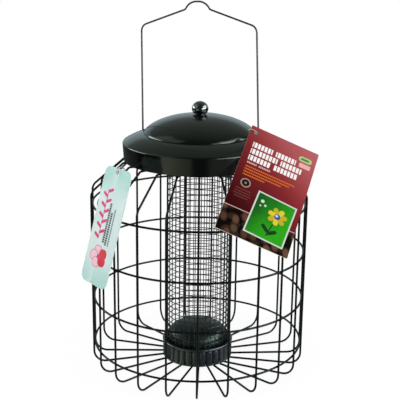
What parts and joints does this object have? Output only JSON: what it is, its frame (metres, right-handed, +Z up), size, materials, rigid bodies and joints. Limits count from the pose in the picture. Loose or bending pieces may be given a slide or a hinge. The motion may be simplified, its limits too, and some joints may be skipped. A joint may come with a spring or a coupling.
{
  "type": "squirrel proof bird feeder",
  "caption": "Peanut feeder: a mesh tube on a fluted cup inside a round wire cage, with a sliding domed lid, a carrying handle and hanging tags.",
  "frame": {"origin": "centre of the flat underside of the hub plate, on the cage's axis, at the level that the feeder stands on", "axes": "+Z up along the cage's axis to the handle; +Y to the back and -Y to the front as pictured; +X to the right"},
  "size_m": [0.2552, 0.2716, 0.4182],
  "materials": {
    "black_wire": "black powder coat, semi-gloss",
    "lid_paint": "dark green-black gloss enamel on steel",
    "knob_plastic": "polished black",
    "cup_plastic": "blue-black moulded, soft gloss",
    "zinc_steel": "bright zinc",
    "handle_steel": "drawn, dull grey-brown",
    "printed_card": "red print, satin varnish",
    "tag_plastic": "pale mint, smooth, slightly translucent",
    "cord_nylon": "fine clear-cream cord"
  },
  "bodies": {
    "cage": {"cage_upright_01": "black_wire", "cage_upright_02": "black_wire", "cage_upright_03": "black_wire", "cage_upright_04": "black_wire", "cage_upright_05": "black_wire", "cage_upright_06": "black_wire", "cage_upright_07": "black_wire", "cage_upright_08": "black_wire", "cage_upright_09": "black_wire", "cage_upright_10": "black_wire", "cage_upright_11": "black_wire", "cage_upright_12": "black_wire", "cage_upright_13": "black_wire", "cage_upright_14": "black_wire", "cage_upright_15": "black_wire", "cage_upright_16": "black_wire", "cage_upright_17": "black_wire", "cage_upright_18": "black_wire", "cage_upright_19": "black_wire", "cage_upright_20": "black_wire", "cage_upright_21": "black_wire", "cage_upright_22": "black_wire", "cage_upright_23": "black_wire", "cage_hoop_1": "black_wire", "cage_hoop_2": "black_wire", "cage_hoop_3": "black_wire", "cage_hoop_4": "black_wire", "hub_plate": "black_wire", "base_cup": "cup_plastic", "deflector_dome": "cup_plastic", "base_screw": "zinc_steel", "mesh_tube_1": "black_wire", "mesh_tube_2": "black_wire", "mesh_tube_3": "black_wire", "mesh_tube_4": "black_wire", "mesh_tube_5": "black_wire", "mesh_tube_6": "black_wire", "mesh_tube_7": "black_wire", "mesh_tube_8": "black_wire", "top_plate": "black_wire", "tube_collar": "black_wire", "handle": "handle_steel"},
    "lid": {"lid_shell": "lid_paint", "knob": "knob_plastic", "knob_screw": "zinc_steel"},
    "card": {"swing_card": "printed_card", "card_loop": "cord_nylon"},
    "tag": {"swing_tag": "tag_plastic", "tag_loop": "cord_nylon"}
  },
  "joints": [
    {"name": "lid_slide", "type": "slide", "parent": "cage", "child": "lid", "axis": [-0.0245, 0.0099, 0.9997], "range_m": [0, 0.1]},
    {"name": "card_swing", "type": "hinge", "parent": "lid", "child": "card", "pos_m": [0.0646, -0.0261, 0.2761], "axis": [-0.929, -0.37, 0], "range_deg": [0, 35]},
    {"name": "tag_swing", "type": "hinge", "parent": "cage", "child": "tag", "pos_m": [-0.0804, -0.0417, 0.2372], "axis": [-0.6073, 0.7944, 0], "range_deg": [0, 35]}
  ]
}
